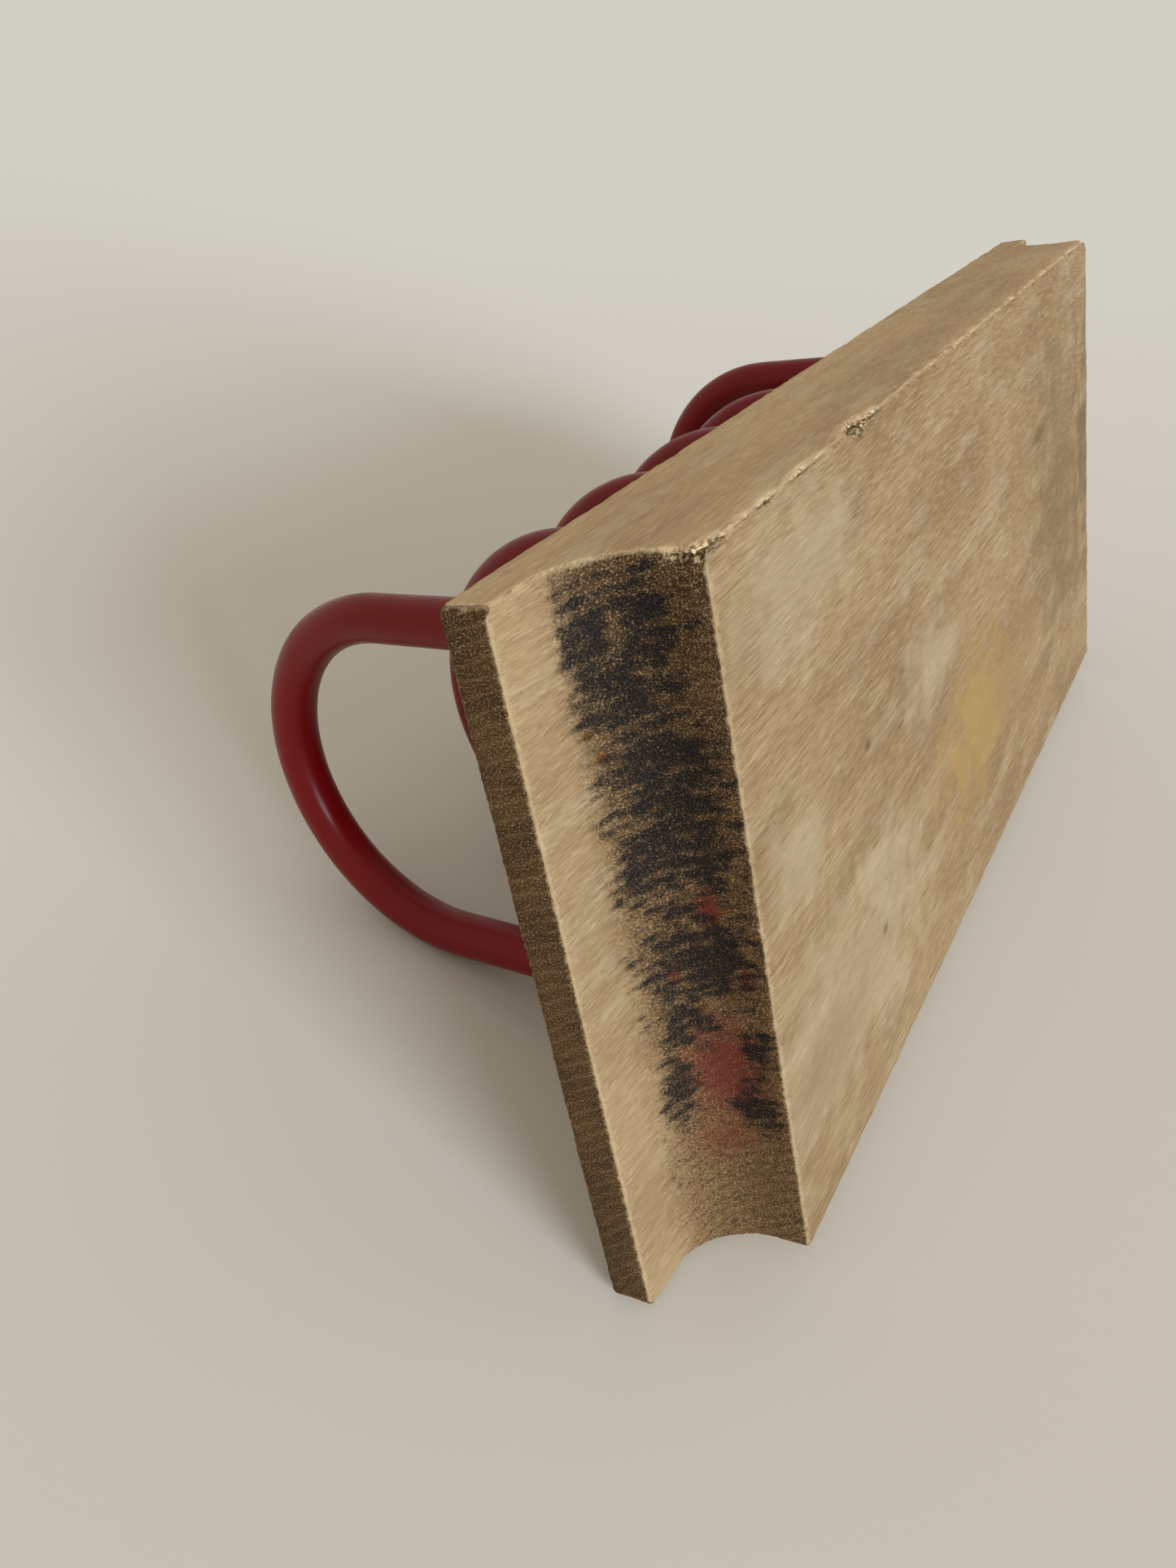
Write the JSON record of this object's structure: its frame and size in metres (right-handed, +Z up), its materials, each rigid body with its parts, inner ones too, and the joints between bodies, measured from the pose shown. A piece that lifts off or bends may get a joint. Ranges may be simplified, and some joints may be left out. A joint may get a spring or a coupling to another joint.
{
  "type": "hoop rack",
  "caption": "Wooden board with a finger grip cut out under each end, carrying a row of red plastic-sleeved wire hoops, tall at the ends and low between, for letters, cards or toast.",
  "frame": {"origin": "middle of the board's underside, on the surface that the rack stands on", "axes": "+X along the board towards the end that the hoops lean to, +Y across the board along the hoops' width, +Z up from the underside through the hoops"},
  "size_m": [0.238, 0.1, 0.1065],
  "materials": {
    "board": "bare worn beech, handled and stained",
    "sleeve": "satin dark red soft plastic",
    "wire": "drawn steel, bare ends"
  },
  "bodies": {
    "root": {"base_board": "board", "wire_1": "wire", "wire_2": "wire", "wire_3": "wire", "wire_4": "wire", "wire_5": "wire", "wire_6": "wire", "sleeve_1": "sleeve", "sleeve_2": "sleeve", "sleeve_3": "sleeve", "sleeve_4": "sleeve", "sleeve_5": "sleeve", "sleeve_6": "sleeve"}
  },
  "joints": []
}
